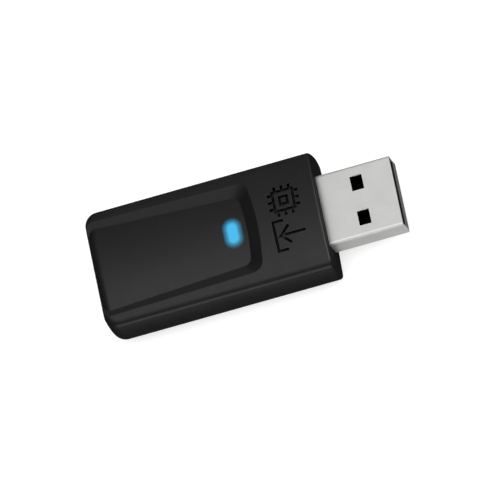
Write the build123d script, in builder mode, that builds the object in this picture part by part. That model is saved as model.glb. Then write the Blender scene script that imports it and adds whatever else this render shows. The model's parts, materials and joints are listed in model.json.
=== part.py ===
from build123d import *
import math
import os

# A stick programmer with a type A USB plug: a plastic case in two halves, the plug, a circuit board
# and a lit indicator window. All sizes are in millimetres.
# Frame: +X out of the plug's mouth, +Y across the stick, +Z up. The origin is on the surface that the
# stick rests on, under the middle of its overall length.

os.makedirs("parts", exist_ok=True)

# ---- Overall sizes ----
STICK_LENGTH = 50.7
PLUG_REACH = 12.4  # length of plug that stands out of the case
CASE_HEIGHT = 9.6
PLUG_AXIS_Z = 5.15
TIP_X = STICK_LENGTH / 2
REAR_X = -STICK_LENGTH / 2
FRONT_X = TIP_X - PLUG_REACH

# ---- Case cross-section, as (Y, Z) of its corners and the arcs between them ----
BELLY_CORNER = (9.62, 0.905)
BELLY_DIP = 0.06  # how far the underside's crown would reach below the flat strip that it rests on
WAIST = (10.55, 3.85)  # the widest level, where the two halves meet
SHOULDER_CORNER = (9.7, 8.8)

# ---- Case edge radii ----
REAR_CORNER_R = 2.2
TOP_EDGE_R = 1.3
BELLY_EDGE_R = 1.0
FRONT_EDGE_R = 0.45
TRIM_SPARE = 3.0  # extra length on shapes that are trimmed later

# ---- Thumb dish ----
DISH_NOSE_X = 2.65  # where the dish's front wall meets the crown of the case
DISH_NOSE_BOW = 0.2  # how far the ends of the front wall lie ahead of its middle
DISH_RIM_Z = 9.07  # level at which the rim's half-widths are given
DISH_RIM_FRONT = 7.55
DISH_RIM_REAR = 8.3
DISH_WALL_RUN = 2.05  # horizontal run of the sloped walls per unit of depth
DISH_FLOOR_FRONT_Z = 8.55
DISH_FLOOR_REAR_Z = 9.13
DISH_FLOOR_R = 42.0  # crown of the dish's floor, across the stick
DISH_REAR_ROLL_R = 1.5
DISH_LOW_Z = 8.0
DISH_HIGH_Z = 10.0
DISH_LOW_CORNER_R = 1.0
DISH_HIGH_CORNER_R = 2.2
DISH_REAR_X = REAR_X - 4.0

# ---- Case walls and seam ----
WALL = 1.5
FLOOR_Z = 1.3
CEILING_Z = 7.0
NOSE_CEILING_Z = 8.1
NOSE_ROOM_HALF = 6.3
NOSE_ROOM_X = 4.0
HOLLOW_FLOOR_R = 0.75
HOLLOW_CEILING_R = 0.6
HOLLOW_CORNER_R = 0.8
SEAM_Z = WAIST[1]
SEAM_GAP = 0.06
LIP_HEIGHT = 0.8
LIP_THICKNESS = 0.6
LIP_CLEARANCE = 0.06

# ---- Posts, pegs and ribs inside the case ----
POST_R = 1.2
PEG_R = 0.6
SOCKET_R = 0.625
PEG_LENGTH = 1.9
SOCKET_DEPTH = 2.15
POST_Y = 7.55
POST_FRONT_X = 10.0
POST_REAR_X = -22.2
ROOT_DEPTH = 0.5  # how far bosses, pegs and ribs run into the wall that they grow from
PEG_CHAMFER = 0.2
BOARD_RIB_Y = 5.0
BOARD_RIB_LENGTH = 22.0
HOLD_DOWN_X = (-14.0, 1.5)
HOLD_DOWN_Y = 7.9
RIB_THICKNESS = 0.8
RIB_CLEARANCE = 0.06

# ---- Indicator window ----
WINDOW_X = -1.8
WINDOW_LENGTH = 5.2
WINDOW_WIDTH = 3.3
WINDOW_CLEARANCE = 0.04
PIPE_FLANGE_RIM = 0.6
PIPE_FLANGE_THICKNESS = 0.8
PIPE_FOOT_Z = 4.15

# ---- Engraved pictogram: a chip, and an arrow that drops into a tray ----
ICON_X = 7.55
ICON_DEPTH = 0.35
ICON_STROKE = 0.48
CHIP_ICON_Y = 2.75
CHIP_ICON_SIZE = 3.8
CHIP_ICON_CORE = 1.7
CHIP_PIN_PITCH = 1.2
CHIP_PIN_LENGTH = 0.7
ARROW_ICON_Y = -3.0
ARROW_LENGTH = 4.1
ARROW_HEAD = 1.5
ARROW_GAP = 0.9  # from the bottom of the tray to the arrow's point
TRAY_WIDTH = 4.9
TRAY_DEPTH = 1.7

# ---- USB plug ----
PLUG_WIDTH = 12.0
PLUG_HEIGHT = 4.5
PLUG_SHEET = 0.3
PLUG_LENGTH = 18.75
PLUG_BEND_R = 0.36
PLUG_BACK_X = TIP_X - PLUG_LENGTH
PLUG_BOTTOM_Z = PLUG_AXIS_Z - PLUG_HEIGHT / 2
LATCH_SIZE_X = 2.0
LATCH_SIZE_Y = 2.5
LATCH_Y = 3.0
LATCH_FROM_TIP = 4.94
SEAM_SLIT = 0.06
APERTURE_CLEARANCE = 0.05
LEG_X = 7.6
LEG_LENGTH = 1.2
LEG_FOOT_Z = 1.55
PLUG_MOUTH_R = 0.1
INSULATOR_FIT = 0.02
TONGUE_THICKNESS = 1.9
TONGUE_SETBACK = 0.05
TONGUE_NOSE_R = 0.15
INSULATOR_EDGE = 0.15
INSULATOR_BLOCK_LENGTH = 6.2
CONTACT_WIDTH = 1.0
CONTACT_THICKNESS = 0.2
CONTACT_SINK = 0.2  # how far the contacts lie below the top of the tongue
CONTACT_SLOT = 0.03
CONTACT_TAIL = 1.5
CONTACT_NOSE_R = 0.15
TAIL_GAP = 0.35
# each contact's place across the plug and how far its front end sits behind the tip
CONTACTS = {
    "vbus": (3.5, 1.9),
    "data_minus": (1.0, 2.9),
    "data_plus": (-1.0, 2.9),
    "ground": (-3.5, 1.9),
}

# ---- Circuit board ----
BOARD_THICKNESS = 1.0
BOARD_TOP_Z = PLUG_BOTTOM_Z
BOARD_BOTTOM_Z = BOARD_TOP_Z - BOARD_THICKNESS
BOARD_REAR_X = -22.9
BOARD_FRONT_X = 11.1
BOARD_HALF = 8.5
BOARD_CORNER_R = 0.8
POST_NOTCH_R = 1.4
LEG_SLOT_GAP = 0.12

# ---- Electronic parts: place of each on the board, then its body's size along X, Y and Z ----
STANDOFF = 0.1
LED_PLACE = (WINDOW_X, 0)
LED_SIZE = (1.6, 3.2, 0.6)
LED_DOME = (1.2, 2.0, 0.45)
MCU_PLACE = (-9.2, 0)
MCU_SIZE = (7.0, 7.0, 1.4)
MCU_LEADS_PER_SIDE = 8
MCU_LEAD_PITCH = 0.8
FLASH_PLACE = (-18.0, -2.6)
FLASH_SIZE = (4.9, 3.9, 1.4)
FLASH_LEADS_PER_SIDE = 4
FLASH_LEAD_PITCH = 1.27
REGULATOR_PLACE = (-1.2, 6.2)
REGULATOR_SIZE = (2.9, 1.6, 1.05)
ESD_PLACE = (2.4, 0)
ESD_SIZE = (1.6, 2.9, 1.05)
SMALL_LEAD_PITCH = 0.95
PACKAGE_EDGE = 0.12
PIN_MARK_R = 0.3
PIN_MARK_DEPTH = 0.08
LEAD_WIDTH = 0.36
LEAD_SHEET = 0.15
LEAD_REACH = 1.0
LEAD_SHORT_REACH = 0.6
LEAD_SHOULDER = 0.3  # where a lead bends down, as a share of its reach
LEAD_KNEE = 0.45  # where it meets the board, as a share of its reach
CRYSTAL_PLACE = (-8.0, -6.7)
CRYSTAL_SIZE = (3.2, 2.5, 0.75)
CRYSTAL_EDGE_R = 0.2
ANTENNA_PLACE = (-21.5, 3.2)
ANTENNA_SIZE = (1.8, 5.0, 1.1)
FUSE_PLACE = (2.4, 4.7)
FUSE_SIZE = (1.25, 2.0, 0.85)
BULK_PLACE = (-1.5, -6.2)
BULK_SIZE = (3.2, 1.6, 1.6)
CAPACITOR_SIZE = (0.8, 1.6, 0.8)
CAPACITOR_PLACES = (
    (-3.8, -3.3),
    (-3.8, 3.3),
    (-14.6, -2.4),
    (-14.6, 2.6),
    (-5.2, -6.7),
    (-10.8, -6.7),
    (1.9, -4.7),
)
RESISTOR_SIZE = (0.8, 1.6, 0.45)
RESISTOR_PLACES = ((0.15, 1.0), (0.15, -1.0), (-16.4, 3.3), (-18.3, 3.3))
LED_RESISTOR_PLACE = (WINDOW_X, -3.4)
END_CAP_LENGTH = 0.35
TEST_PAD_R = 0.65
TEST_PAD_PITCH = 1.9
TEST_PAD_COUNT = 5
TEST_PAD_MIDDLE = (-14.0, 6.3)
TEST_PAD_THICKNESS = 0.05

# ---- Where the case and the dish are, worked out ----
dish_slope = (DISH_RIM_REAR - DISH_RIM_FRONT) / (DISH_NOSE_X - REAR_X)
post_places = [(x, y) for x in (POST_FRONT_X, POST_REAR_X) for y in (-POST_Y, POST_Y)]
case_middle_x = (REAR_X + FRONT_X) / 2
case_length = FRONT_X - REAR_X


# ======== Shapes shared by the two halves of the case ========

# The outside of the closed case: bulging flanks with rounded rear corners, trimmed by a crowned top and
# a crowned underside, then rounded along every edge.
trim_half = WAIST[0] + TRIM_SPARE
with BuildPart() as case_body:
    with BuildSketch(Plane.YZ.offset(REAR_X)):
        with BuildLine():
            low_flank = TangentArc(WAIST, BELLY_CORNER, tangent=(0, -1))
            high_flank = TangentArc(WAIST, SHOULDER_CORNER, tangent=(0, 1))
            flank_foot = low_flank @ 1 + low_flank % 1 * TRIM_SPARE
            flank_head = high_flank @ 1 + high_flank % 1 * TRIM_SPARE
            Polyline(low_flank @ 1, flank_foot, (0, flank_foot.Y))
            Line((0, flank_foot.Y), (0, flank_head.Y))
            Polyline((0, flank_head.Y), flank_head, high_flank @ 1)
        make_face()
        mirror(about=Plane.YZ)
    extrude(amount=case_length + TRIM_SPARE)
    rear_edges = case_body.faces().sort_by(Axis.X)[0].edges()
    fillet(rear_edges.filter_by(lambda edge: abs(edge.center().Y) > WAIST[0] / 2), REAR_CORNER_R)
    with BuildSketch(Plane.YZ.offset(REAR_X)):
        with BuildLine():
            crown = TangentArc((0, CASE_HEIGHT), SHOULDER_CORNER, tangent=(1, 0))
            belly = TangentArc((0, -BELLY_DIP), BELLY_CORNER, tangent=(1, 0))
            crown_edge = crown @ 1 + crown % 1 * TRIM_SPARE
            belly_edge = belly @ 1 + belly % 1 * TRIM_SPARE
            Polyline(crown @ 1, crown_edge, belly_edge, belly @ 1)
            Line(crown @ 0, belly @ 0)
        make_face()
        mirror(about=Plane.YZ)
    extrude(amount=case_length + TRIM_SPARE, mode=Mode.INTERSECT)
    # the shoulder, running round the rear end
    top_edges = case_body.faces().sort_by(Axis.Z)[-1].edges()
    fillet(top_edges.filter_by(lambda edge: edge.center().X < FRONT_X), TOP_EDGE_R)
    # the lower corner, running round the rear end
    low_edges = case_body.faces().sort_by(Axis.Z)[0].edges()
    fillet(low_edges.filter_by(lambda edge: edge.center().X < FRONT_X), BELLY_EDGE_R)
    split(bisect_by=Plane.XY, keep=Keep.TOP)
    split(bisect_by=Plane.YZ.offset(FRONT_X), keep=Keep.BOTTOM)
    fillet(case_body.faces().sort_by(Axis.X)[-1].edges(), FRONT_EDGE_R)

# Everything under the dish's floor: a crowned block that falls towards the plug and rolls over at
# the rear end.
floor_run = Vector(DISH_NOSE_X - REAR_X, 0, DISH_FLOOR_FRONT_Z - DISH_FLOOR_REAR_Z).normalized()
floor_start = Vector(REAR_X, 0, DISH_FLOOR_REAR_Z) - floor_run * TRIM_SPARE
floor_edge = (trim_half, math.sqrt(DISH_FLOOR_R**2 - trim_half**2) - DISH_FLOOR_R)
with BuildPart() as under_dish:
    with BuildSketch(Plane(origin=floor_start, x_dir=(0, 1, 0), z_dir=floor_run)):
        with BuildLine():
            TangentArc((0, 0), floor_edge, tangent=(1, 0))
            Polyline(floor_edge, (trim_half, -CASE_HEIGHT), (0, -CASE_HEIGHT), (0, 0))
        make_face()
        mirror(about=Plane.YZ)
    extrude(amount=case_length + TRIM_SPARE)
    split(bisect_by=Plane.YZ.offset(REAR_X), keep=Keep.TOP)
    fillet(under_dish.faces().sort_by(Axis.X)[0].edges().sort_by(Axis.Z)[-1], DISH_REAR_ROLL_R)

# The dish itself: sloped walls over the crowned floor, open at the rear end.
with BuildPart() as dish:
    for level, corner_r in ((DISH_LOW_Z, DISH_LOW_CORNER_R), (DISH_HIGH_Z, DISH_HIGH_CORNER_R)):
        spread = DISH_WALL_RUN * (level - DISH_RIM_Z)
        nose_x = DISH_NOSE_X + DISH_WALL_RUN * (level - CASE_HEIGHT)
        front_half = DISH_RIM_FRONT + spread
        rear_half = DISH_RIM_REAR + spread + dish_slope * (REAR_X - DISH_REAR_X)
        with BuildSketch(Plane.XY.offset(level)) as dish_outline:
            with BuildLine():
                far_corner = (nose_x + DISH_NOSE_BOW, front_half)
                near_corner = (nose_x + DISH_NOSE_BOW, -front_half)
                ThreePointArc(near_corner, (nose_x, 0), far_corner)
                Polyline(far_corner, (DISH_REAR_X, rear_half), (DISH_REAR_X, -rear_half), near_corner)
            make_face()
            fillet(dish_outline.vertices().group_by(Axis.X)[-1], corner_r)
    loft(ruled=True)
    add(under_dish.part, mode=Mode.SUBTRACT)

# The room inside the case: a long room over the board, and a higher one over the plug's root.
with BuildPart() as case_hollow:
    with BuildSketch(Plane.XY.offset(FLOOR_Z)):
        with Locations((case_middle_x, 0)):
            RectangleRounded(case_length - 2 * WALL, 2 * (WAIST[0] - WALL), HOLLOW_CORNER_R)
    extrude(amount=CEILING_Z - FLOOR_Z)
    fillet(case_hollow.faces().sort_by(Axis.Z)[0].edges(), HOLLOW_FLOOR_R)
    fillet(case_hollow.faces().sort_by(Axis.Z)[-1].edges(), HOLLOW_CEILING_R)
    with BuildSketch(Plane.XY.offset(PLUG_AXIS_Z)):
        with Locations(((NOSE_ROOM_X + FRONT_X - WALL) / 2, 0)):
            Rectangle(FRONT_X - WALL - NOSE_ROOM_X, 2 * NOSE_ROOM_HALF)
    extrude(amount=NOSE_CEILING_Z - PLUG_AXIS_Z)


def lip_ring(thickness, top_z):
    """Make a band round the room inside the case, from the seam up to top_z."""
    with BuildPart() as ring:
        with BuildSketch(Plane.XY.offset(SEAM_Z)):
            with Locations((case_middle_x, 0)):
                RectangleRounded(
                    case_length - 2 * WALL + 2 * thickness,
                    2 * (WAIST[0] - WALL + thickness),
                    HOLLOW_CORNER_R + thickness,
                )
                RectangleRounded(
                    case_length - 2 * WALL, 2 * (WAIST[0] - WALL), HOLLOW_CORNER_R, mode=Mode.SUBTRACT
                )
        extrude(amount=top_z - SEAM_Z)
    return ring.part


# The mouth in the front wall that the plug comes out of.
with BuildPart() as plug_mouth:
    with BuildSketch(Plane.YZ.offset(FRONT_X - WALL - TRIM_SPARE)):
        with Locations((0, PLUG_AXIS_Z)):
            RectangleRounded(
                PLUG_WIDTH + 2 * APERTURE_CLEARANCE,
                PLUG_HEIGHT + 2 * APERTURE_CLEARANCE,
                PLUG_BEND_R + APERTURE_CLEARANCE,
            )
    extrude(amount=WALL + 2 * TRIM_SPARE)

# The engraving tool: a chip outline with its pins and core, and an arrow over a tray. Its floor
# follows the crown of the case.
with BuildPart() as pictogram:
    with BuildSketch(Plane.XY.offset(SHOULDER_CORNER[1])):
        with Locations((ICON_X, CHIP_ICON_Y)):
            Rectangle(CHIP_ICON_SIZE, CHIP_ICON_SIZE)
            with GridLocations(0, CHIP_PIN_PITCH, 1, 3):
                Rectangle(CHIP_ICON_SIZE + 2 * CHIP_PIN_LENGTH, ICON_STROKE)
            with GridLocations(CHIP_PIN_PITCH, 0, 3, 1):
                Rectangle(ICON_STROKE, CHIP_ICON_SIZE + 2 * CHIP_PIN_LENGTH)
            inner_size = CHIP_ICON_SIZE - 2 * ICON_STROKE
            Rectangle(inner_size, inner_size, mode=Mode.SUBTRACT)
            Rectangle(CHIP_ICON_CORE, CHIP_ICON_CORE)
            core_inside = CHIP_ICON_CORE - 2 * ICON_STROKE
            Rectangle(core_inside, core_inside, mode=Mode.SUBTRACT)
    extrude(amount=CASE_HEIGHT - SHOULDER_CORNER[1] + TRIM_SPARE)
    tray_x = ICON_X - TRAY_WIDTH / 2
    tip_x = tray_x + ARROW_GAP
    with BuildSketch(Plane.XY.offset(SHOULDER_CORNER[1])):
        with BuildLine() as arrow_lines:
            Line((tip_x, ARROW_ICON_Y), (tip_x + ARROW_LENGTH, ARROW_ICON_Y))
            Polyline(
                (tip_x + ARROW_HEAD, ARROW_ICON_Y + ARROW_HEAD),
                (tip_x, ARROW_ICON_Y),
                (tip_x + ARROW_HEAD, ARROW_ICON_Y - ARROW_HEAD),
            )
            Polyline(
                (tray_x + TRAY_DEPTH, ARROW_ICON_Y + TRAY_WIDTH / 2),
                (tray_x, ARROW_ICON_Y + TRAY_WIDTH / 2),
                (tray_x, ARROW_ICON_Y - TRAY_WIDTH / 2),
                (tray_x + TRAY_DEPTH, ARROW_ICON_Y - TRAY_WIDTH / 2),
            )
        trace(line_width=ICON_STROKE)
    extrude(amount=CASE_HEIGHT - SHOULDER_CORNER[1] + TRIM_SPARE)
    with BuildSketch(Plane.YZ.offset(REAR_X)):
        with BuildLine():
            sunk_crown = ThreePointArc(
                (-SHOULDER_CORNER[0], SHOULDER_CORNER[1] - ICON_DEPTH),
                (0, CASE_HEIGHT - ICON_DEPTH),
                (SHOULDER_CORNER[0], SHOULDER_CORNER[1] - ICON_DEPTH),
            )
            Polyline(sunk_crown @ 0, (-SHOULDER_CORNER[0], 0), (SHOULDER_CORNER[0], 0), sunk_crown @ 1)
        make_face()
    extrude(amount=STICK_LENGTH, mode=Mode.SUBTRACT)


# ======== The cover: top half of the case and its window ========

seat_z = SEAM_Z + SEAM_GAP
with BuildPart() as top_shell:
    add(case_body.part)
    split(bisect_by=Plane.XY.offset(seat_z), keep=Keep.TOP)
    add(case_hollow.part, mode=Mode.SUBTRACT)
    add(dish.part, mode=Mode.SUBTRACT)
    add(pictogram.part, mode=Mode.SUBTRACT)
    add(lip_ring(LIP_THICKNESS + LIP_CLEARANCE, SEAM_Z + LIP_HEIGHT + LIP_CLEARANCE), mode=Mode.SUBTRACT)
    add(plug_mouth.part, mode=Mode.SUBTRACT)
    # bosses that stand on the bottom shell's posts, and their pegs
    with BuildSketch(Plane.XY.offset(seat_z)):
        with Locations(*post_places):
            Circle(POST_R)
    extrude(amount=CEILING_Z + ROOT_DEPTH - seat_z)
    with BuildSketch(Plane.XY.offset(seat_z - PEG_LENGTH)):
        with Locations(*post_places):
            Circle(PEG_R)
    extrude(amount=PEG_LENGTH + ROOT_DEPTH)
    chamfer(top_shell.edges().group_by(Axis.Z)[0], PEG_CHAMFER)
    # ribs that hold the board down
    with BuildSketch(Plane.XY.offset(BOARD_TOP_Z + RIB_CLEARANCE)):
        with Locations(*[(x, y) for x in HOLD_DOWN_X for y in (-HOLD_DOWN_Y, HOLD_DOWN_Y)]):
            Rectangle(RIB_THICKNESS, RIB_THICKNESS)
    extrude(amount=CEILING_Z + ROOT_DEPTH - BOARD_TOP_Z - RIB_CLEARANCE)
    # window for the light pipe
    window_growth = 2 * WINDOW_CLEARANCE
    with BuildSketch(Plane.XY.offset(PLUG_AXIS_Z)):
        with Locations((WINDOW_X, 0)):
            SlotOverall(WINDOW_LENGTH + window_growth, WINDOW_WIDTH + window_growth, rotation=90)
    extrude(amount=CASE_HEIGHT - PLUG_AXIS_Z, mode=Mode.SUBTRACT)
top_shell.part.label = "top_shell"
export_step(top_shell.part, "parts/top_shell.step")

# The light pipe: its top follows the dish's floor, and its flange sits under the ceiling.
with BuildPart() as light_pipe:
    with BuildSketch(Plane.XY.offset(PIPE_FOOT_Z)):
        with Locations((WINDOW_X, 0)):
            SlotOverall(WINDOW_LENGTH, WINDOW_WIDTH, rotation=90)
    extrude(amount=CASE_HEIGHT - PIPE_FOOT_Z)
    add(under_dish.part, mode=Mode.INTERSECT)
    flange_growth = 2 * PIPE_FLANGE_RIM
    with BuildSketch(Plane.XY.offset(CEILING_Z - PIPE_FLANGE_THICKNESS)):
        with Locations((WINDOW_X, 0)):
            SlotOverall(WINDOW_LENGTH + flange_growth, WINDOW_WIDTH + flange_growth, rotation=90)
    extrude(amount=PIPE_FLANGE_THICKNESS)
light_pipe.part.label = "light_pipe"
export_step(light_pipe.part, "parts/light_pipe.step")


# ======== The base: bottom half of the case ========

with BuildPart() as bottom_shell:
    add(case_body.part)
    split(bisect_by=Plane.XY.offset(SEAM_Z), keep=Keep.BOTTOM)
    add(case_hollow.part, mode=Mode.SUBTRACT)
    # lip that the top shell drops over, open at the plug
    add(lip_ring(LIP_THICKNESS, SEAM_Z + LIP_HEIGHT))
    with BuildSketch(Plane.XY.offset(SEAM_Z)):
        with Locations((FRONT_X - WALL / 2, 0)):
            Rectangle(2 * WALL, 2 * NOSE_ROOM_HALF)
    extrude(amount=2 * LIP_HEIGHT, mode=Mode.SUBTRACT)
    add(plug_mouth.part, mode=Mode.SUBTRACT)
    # posts with sockets for the pegs
    with BuildSketch(Plane.XY.offset(FLOOR_Z - ROOT_DEPTH)):
        with Locations(*post_places):
            Circle(POST_R)
    extrude(amount=SEAM_Z - FLOOR_Z + ROOT_DEPTH)
    with Locations(*[(x, y, SEAM_Z) for x, y in post_places]):
        CounterSinkHole(SOCKET_R, SOCKET_R + PEG_CHAMFER, SOCKET_DEPTH)
    # ribs that the board rests on
    with BuildSketch(Plane.XY.offset(FLOOR_Z - ROOT_DEPTH)):
        with Locations((case_middle_x, -BOARD_RIB_Y), (case_middle_x, BOARD_RIB_Y)):
            Rectangle(BOARD_RIB_LENGTH, RIB_THICKNESS)
    extrude(amount=BOARD_BOTTOM_Z - FLOOR_Z + ROOT_DEPTH)
bottom_shell.part.label = "bottom_shell"
export_step(bottom_shell.part, "parts/bottom_shell.step")


# ======== The plug ========

inner_width = PLUG_WIDTH - 2 * PLUG_SHEET
inner_height = PLUG_HEIGHT - 2 * PLUG_SHEET
latch_x = TIP_X - LATCH_FROM_TIP - LATCH_SIZE_X / 2
leg_y = (PLUG_WIDTH - PLUG_SHEET) / 2
leg_places = [(LEG_X + LEG_LENGTH / 2, y) for y in (-leg_y, leg_y)]

# The shell: folded sheet with latch windows above and below, a closing seam underneath and two legs.
with BuildPart() as plug_shell:
    with BuildSketch(Plane.YZ.offset(PLUG_BACK_X)):
        with Locations((0, PLUG_AXIS_Z)):
            RectangleRounded(PLUG_WIDTH, PLUG_HEIGHT, PLUG_BEND_R)
            RectangleRounded(inner_width, inner_height, PLUG_BEND_R - PLUG_SHEET, mode=Mode.SUBTRACT)
    extrude(amount=PLUG_LENGTH)
    mouth_face = plug_shell.faces().sort_by(Axis.X)[-1]
    fillet(mouth_face.outer_wire().edges(), PLUG_MOUTH_R)
    with BuildSketch(Plane.XY.offset(PLUG_BOTTOM_Z - PLUG_SHEET)):
        with Locations((latch_x, 0)):
            with GridLocations(0, 2 * LATCH_Y, 1, 2):
                Rectangle(LATCH_SIZE_X, LATCH_SIZE_Y)
    extrude(amount=PLUG_HEIGHT + 2 * PLUG_SHEET, mode=Mode.SUBTRACT)
    with BuildSketch(Plane.XY.offset(PLUG_BOTTOM_Z - PLUG_SHEET)):
        with Locations((PLUG_BACK_X + PLUG_LENGTH / 2, 0)):
            Rectangle(PLUG_LENGTH, SEAM_SLIT)
    extrude(amount=2 * PLUG_SHEET, mode=Mode.SUBTRACT)
    with BuildSketch(Plane.XY.offset(LEG_FOOT_Z)):
        with Locations(*leg_places):
            Rectangle(LEG_LENGTH, PLUG_SHEET)
    extrude(amount=PLUG_AXIS_Z - LEG_FOOT_Z)
plug_shell.part.label = "plug_shell"
export_step(plug_shell.part, "parts/plug_shell.step")

# The insulator: a block that fills the shell's root and a tongue that carries the contacts.
tongue_floor_z = PLUG_BOTTOM_Z + PLUG_SHEET + INSULATOR_FIT
tongue_top_z = tongue_floor_z + TONGUE_THICKNESS
contact_low_z = tongue_top_z - CONTACT_SINK - CONTACT_THICKNESS
fitted_width = inner_width - 2 * INSULATOR_FIT
with BuildPart() as plug_insulator:
    with BuildSketch(Plane.XZ.offset(-fitted_width / 2)):
        with BuildLine():
            Polyline(
                (PLUG_BACK_X, tongue_floor_z),
                (TIP_X - TONGUE_SETBACK, tongue_floor_z),
                (TIP_X - TONGUE_SETBACK, tongue_top_z),
                (PLUG_BACK_X + INSULATOR_BLOCK_LENGTH, tongue_top_z),
                (PLUG_BACK_X + INSULATOR_BLOCK_LENGTH, tongue_floor_z + inner_height - 2 * INSULATOR_FIT),
                (PLUG_BACK_X, tongue_floor_z + inner_height - 2 * INSULATOR_FIT),
                close=True,
            )
        make_face()
    extrude(amount=fitted_width)
    long_edges = plug_insulator.edges().filter_by(Axis.X)
    chamfer(long_edges.group_by(Axis.Z)[0] + long_edges.group_by(Axis.Z)[-1], INSULATOR_EDGE)
    fillet(plug_insulator.faces().sort_by(Axis.X)[-1].edges().sort_by(Axis.Z)[-1], TONGUE_NOSE_R)
    with BuildSketch(Plane.XY.offset(contact_low_z - CONTACT_SLOT)):
        with Locations(*[(TIP_X - PLUG_LENGTH / 2 - setback, y) for y, setback in CONTACTS.values()]):
            Rectangle(PLUG_LENGTH, CONTACT_WIDTH + 2 * CONTACT_SLOT)
    extrude(amount=CONTACT_THICKNESS + 2 * CONTACT_SLOT, mode=Mode.SUBTRACT)
    # each slot is open above, from the front end of its contact back to the latch windows
    with BuildSketch(Plane.XY.offset(contact_low_z)):
        for contact_y, contact_setback in CONTACTS.values():
            with Locations((TIP_X - (contact_setback + LATCH_FROM_TIP) / 2, contact_y)):
                Rectangle(LATCH_FROM_TIP - contact_setback, CONTACT_WIDTH + 2 * CONTACT_SLOT)
    extrude(amount=CONTACT_THICKNESS + 2 * CONTACT_SINK, mode=Mode.SUBTRACT)
plug_insulator.part.label = "plug_insulator"
export_step(plug_insulator.part, "parts/plug_insulator.step")

# The four contacts: each lies in the tongue, drops behind the block and ends in a foot on the board.
drop_x = PLUG_BACK_X - TAIL_GAP
for contact_name, (contact_y, contact_setback) in CONTACTS.items():
    with BuildPart() as contact:
        with BuildSketch(Plane.XZ.offset(-contact_y - CONTACT_WIDTH / 2)):
            with BuildLine():
                Polyline(
                    (TIP_X - contact_setback, contact_low_z),
                    (TIP_X - contact_setback, contact_low_z + CONTACT_THICKNESS),
                    (drop_x - CONTACT_THICKNESS, contact_low_z + CONTACT_THICKNESS),
                    (drop_x - CONTACT_THICKNESS, BOARD_TOP_Z + CONTACT_THICKNESS),
                    (drop_x - CONTACT_TAIL, BOARD_TOP_Z + CONTACT_THICKNESS),
                    (drop_x - CONTACT_TAIL, BOARD_TOP_Z),
                    (drop_x, BOARD_TOP_Z),
                    (drop_x, contact_low_z),
                    close=True,
                )
            make_face()
        extrude(amount=CONTACT_WIDTH)
        fillet(contact.faces().sort_by(Axis.X)[-1].edges().sort_by(Axis.Z)[-1], CONTACT_NOSE_R)
    contact.part.label = f"contact_{contact_name}"
    export_step(contact.part, f"parts/contact_{contact_name}.step")


# ======== The circuit board and what stands on it ========

with BuildPart() as circuit_board:
    with BuildSketch(Plane.XY.offset(BOARD_BOTTOM_Z)):
        with Locations(((BOARD_REAR_X + BOARD_FRONT_X) / 2, 0)):
            RectangleRounded(BOARD_FRONT_X - BOARD_REAR_X, 2 * BOARD_HALF, BOARD_CORNER_R)
        with Locations(*post_places):
            Circle(POST_NOTCH_R, mode=Mode.SUBTRACT)
        with Locations(*leg_places):
            Rectangle(LEG_LENGTH + 2 * LEG_SLOT_GAP, PLUG_SHEET + 2 * LEG_SLOT_GAP, mode=Mode.SUBTRACT)
    extrude(amount=BOARD_THICKNESS)
circuit_board.part.label = "circuit_board"
export_step(circuit_board.part, "parts/circuit_board.step")


def moulded_body(place, size):
    """Make a moulded package with bevelled edges, standing just clear of the board."""
    with BuildPart() as moulded:
        with BuildSketch(Plane.XY.offset(BOARD_TOP_Z + STANDOFF)):
            with Locations(place):
                Rectangle(size[0], size[1])
        extrude(amount=size[2])
        chamfer(moulded.edges().filter_by(Axis.Z, reverse=True), PACKAGE_EDGE)
        mark_inset = PACKAGE_EDGE + 2 * PIN_MARK_R
        mark_x = place[0] - size[0] / 2 + mark_inset
        mark_y = place[1] + size[1] / 2 - mark_inset
        with Locations((mark_x, mark_y, BOARD_TOP_Z + STANDOFF + size[2])):
            Hole(PIN_MARK_R, PIN_MARK_DEPTH)
    return moulded.part


def gull_leads(place, body_half, outward, offsets, reach, height):
    """Make a row of bent leads along one side of a package; outward is the way that they point."""
    along = Vector(-outward[1], outward[0], 0)
    across = Vector(outward[1], -outward[0], 0)
    shoulder = reach * LEAD_SHOULDER
    knee = reach * LEAD_KNEE
    with BuildPart() as leads:
        for shift in offsets:
            root = Vector(place[0], place[1], BOARD_TOP_Z) + Vector(*outward, 0) * body_half + along * shift
            with BuildSketch(Plane(origin=root, x_dir=(*outward, 0), z_dir=across)):
                with BuildLine():
                    Polyline(
                        (0, height),
                        (shoulder, height),
                        (knee, 0),
                        (reach, 0),
                        (reach, LEAD_SHEET),
                        (knee + LEAD_SHEET, LEAD_SHEET),
                        (shoulder + LEAD_SHEET, height + LEAD_SHEET),
                        (0, height + LEAD_SHEET),
                        close=True,
                    )
                make_face()
            extrude(amount=LEAD_WIDTH / 2, both=True)
    return leads.part


def row(count, pitch):
    """List evenly spaced offsets about the middle."""
    return [pitch * (i - (count - 1) / 2) for i in range(count)]


def chip_core(place, size):
    """Make the middle of a two-terminal chip, between its end caps."""
    with BuildPart() as core:
        with BuildSketch(Plane.XY.offset(BOARD_TOP_Z)):
            with Locations(place):
                Rectangle(
                    size[0] - 2 * END_CAP_LENGTH if size[0] > size[1] else size[0],
                    size[1] if size[0] > size[1] else size[1] - 2 * END_CAP_LENGTH,
                )
        extrude(amount=size[2])
    return core.part


def chip_caps(place, size):
    """Make the two metal end caps of a chip, which lie along its longer side."""
    with BuildPart() as caps:
        with BuildSketch(Plane.XY.offset(BOARD_TOP_Z)):
            with Locations(place):
                if size[0] > size[1]:
                    with GridLocations(size[0] - END_CAP_LENGTH, 0, 2, 1):
                        Rectangle(END_CAP_LENGTH, size[1])
                else:
                    with GridLocations(0, size[1] - END_CAP_LENGTH, 1, 2):
                        Rectangle(size[0], END_CAP_LENGTH)
        extrude(amount=size[2])
    return caps.part


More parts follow.
